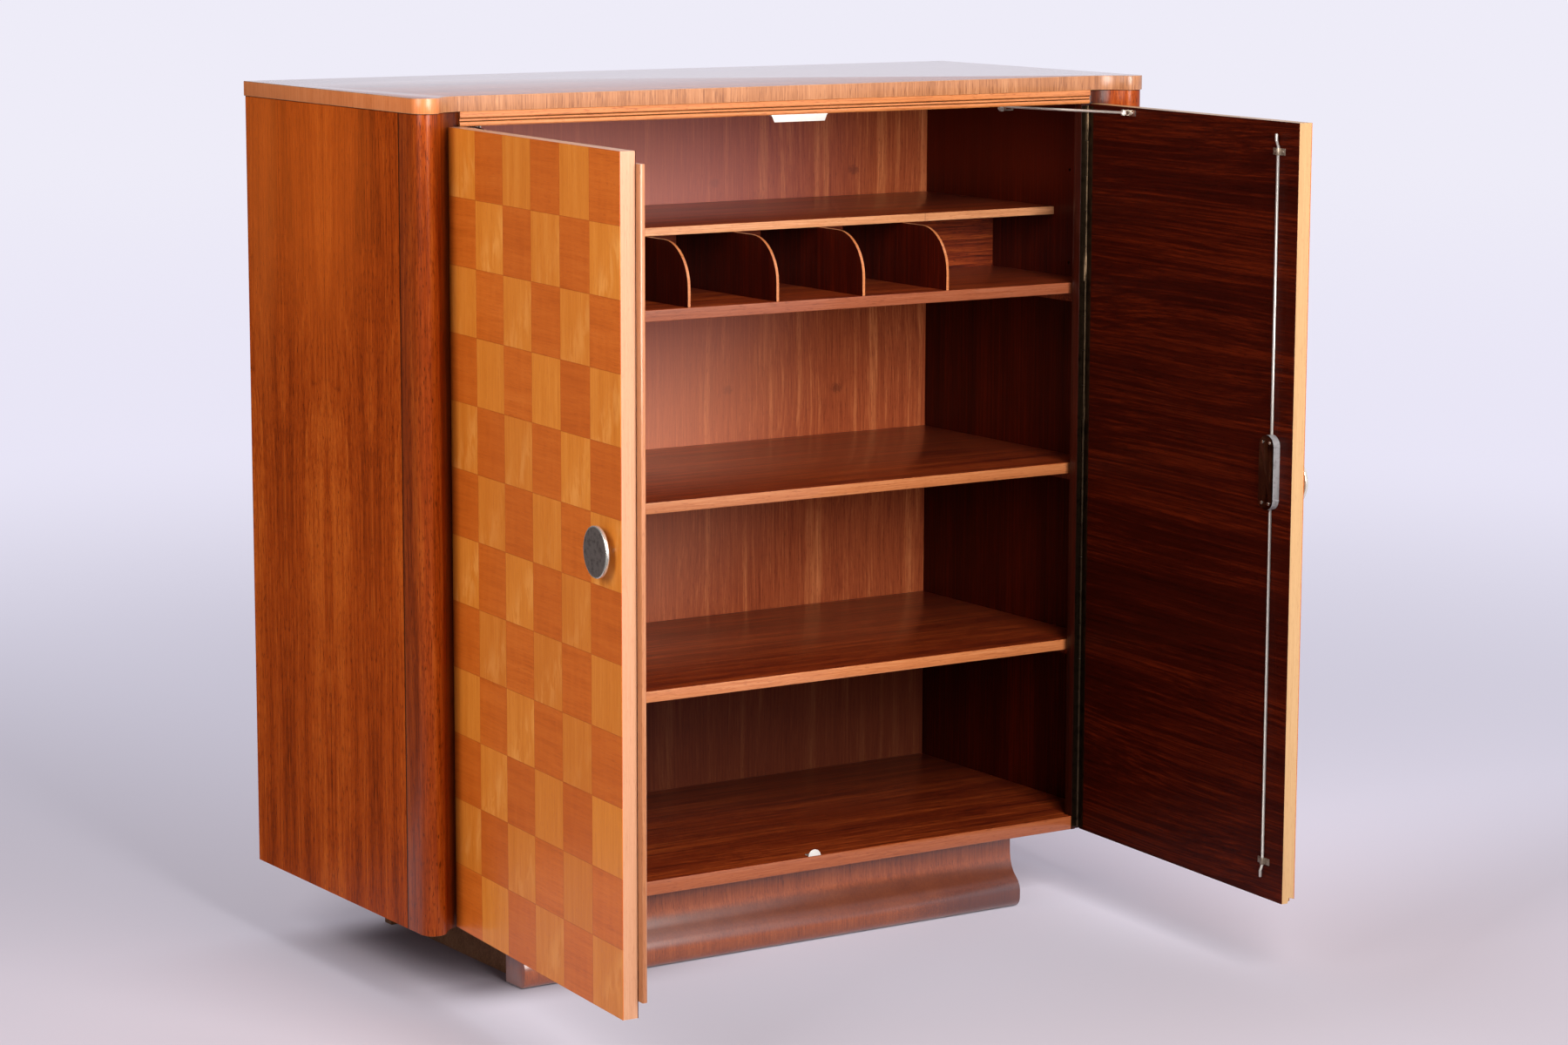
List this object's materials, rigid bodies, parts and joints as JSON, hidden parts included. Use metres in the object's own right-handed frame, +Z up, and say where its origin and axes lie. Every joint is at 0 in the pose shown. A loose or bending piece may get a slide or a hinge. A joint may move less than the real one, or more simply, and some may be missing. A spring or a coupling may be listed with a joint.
{
  "type": "two-door cupboard",
  "caption": "Low wardrobe cupboard with two overlay doors on long piano hinges, reeded frieze, rounded corner posts, shelves, pigeonholes, a rod lock and door stays.",
  "frame": {"origin": "on the floor under the middle of the cabinet's width and overall depth", "axes": "+X to the viewer's right, front towards -Y, +Z up; both doors stand open at rest, as pictured"},
  "size_m": [1.168, 0.9814, 1.2],
  "materials": {
    "walnut_veneer": "polished, straight grain",
    "figured_top": "high polish",
    "mahogany_inside": "satin",
    "striped_back": "satin",
    "pale_edge": "satin",
    "chequered_veneer": "high gloss lacquer",
    "door_lining": "satin",
    "light_lipping": "satin",
    "core_board": "plain",
    "plinth_stain": "satin, worn",
    "bronze_hinge": "dark patina",
    "polished_rim": "polished",
    "nickel": "dull plated",
    "black_cover": "glossy"
  },
  "bodies": {
    "cabinet": {"top_board": "figured_top", "frieze": "pale_edge", "top_panel": "mahogany_inside", "left_post": "walnut_veneer", "right_post": "walnut_veneer", "left_side": "walnut_veneer", "right_side": "walnut_veneer", "bottom_board": "pale_edge", "back_panel": "striped_back", "lower_shelf": "mahogany_inside", "middle_shelf": "mahogany_inside", "upper_shelf": "mahogany_inside", "pigeonhole_shelf": "mahogany_inside", "pigeonhole_dividers": "mahogany_inside", "pigeonhole_back": "striped_back", "shelf_cleats": "mahogany_inside", "plinth_front": "plinth_stain", "plinth_frame": "plinth_stain", "left_hinge_frame_leaf": "bronze_hinge", "left_hinge_pin": "nickel", "right_hinge_frame_leaf": "bronze_hinge", "right_hinge_pin": "nickel", "top_keeper": "nickel", "bottom_keeper": "nickel", "left_stay_staple": "nickel", "right_stay_staple": "nickel"},
    "left_door": {"left_hinge_door_leaf": "bronze_hinge", "left_door_core": "core_board", "left_door_lipping": "light_lipping", "left_door_face": "chequered_veneer", "left_door_lining": "door_lining", "closing_strip": "light_lipping", "left_knob": "polished_rim", "left_knob_stem": "nickel", "left_stay_bracket": "nickel"},
    "right_door": {"right_hinge_door_leaf": "bronze_hinge", "right_door_core": "core_board", "right_door_lipping": "light_lipping", "right_door_face": "chequered_veneer", "right_door_lining": "door_lining", "lock_case": "nickel", "lock_cover": "black_cover", "lock_screws": "nickel", "upper_rod_guide": "nickel", "lower_rod_guide": "nickel", "right_stay_bracket": "nickel"},
    "turning_knob": {"right_knob": "polished_rim", "right_knob_stem": "nickel", "lock_pinion": "nickel"},
    "upper_bolt": {"upper_rod": "nickel"},
    "lower_bolt": {"lower_rod": "nickel"},
    "left_stay": {"left_stay_rod": "nickel"},
    "right_stay": {"right_stay_rod": "nickel"}
  },
  "joints": [
    {"name": "left_door_hinge", "type": "hinge", "parent": "cabinet", "child": "left_door", "pos_m": [-0.502, -0.2205, 0.635], "axis": [0, 0, 1], "range_deg": [0, 94.7]},
    {"name": "right_door_hinge", "type": "hinge", "parent": "cabinet", "child": "right_door", "pos_m": [0.502, -0.2205, 0.635], "axis": [0, 0, -1], "range_deg": [-8.7, 86]},
    {"name": "knob_turn", "type": "hinge", "parent": "right_door", "child": "turning_knob", "pos_m": [0.49697, -0.67947, 0.68], "axis": [0.9976, -0.0698, 0], "range_deg": [0, 90]},
    {"name": "upper_rod_slide", "type": "slide", "parent": "right_door", "child": "upper_bolt", "axis": [0, 0, 1], "range_m": [0, 0.009]},
    {"name": "lower_rod_slide", "type": "slide", "parent": "right_door", "child": "lower_bolt", "axis": [0, 0, -1], "range_m": [0, 0.009]},
    {"name": "left_stay_pivot", "type": "hinge", "parent": "left_door", "child": "left_stay", "pos_m": [-0.50415, -0.31986, 1.1535], "axis": [0, 0, 1], "range_deg": [-55.06, 0]},
    {"name": "right_stay_pivot", "type": "hinge", "parent": "right_door", "child": "right_stay", "pos_m": [0.4891, -0.31904, 1.1535], "axis": [0, 0, -1], "range_deg": [-50, 5.06]}
  ],
  "couplings": [
    {"joint": "upper_rod_slide", "follows": "knob_turn", "m_per_rad": 0.0057296},
    {"joint": "lower_rod_slide", "follows": "knob_turn", "m_per_rad": 0.0057296},
    {"joint": "left_stay_pivot", "follows": "left_door_hinge", "ratio": -0.5813},
    {"joint": "right_stay_pivot", "follows": "right_door_hinge", "ratio": -0.5813}
  ]
}
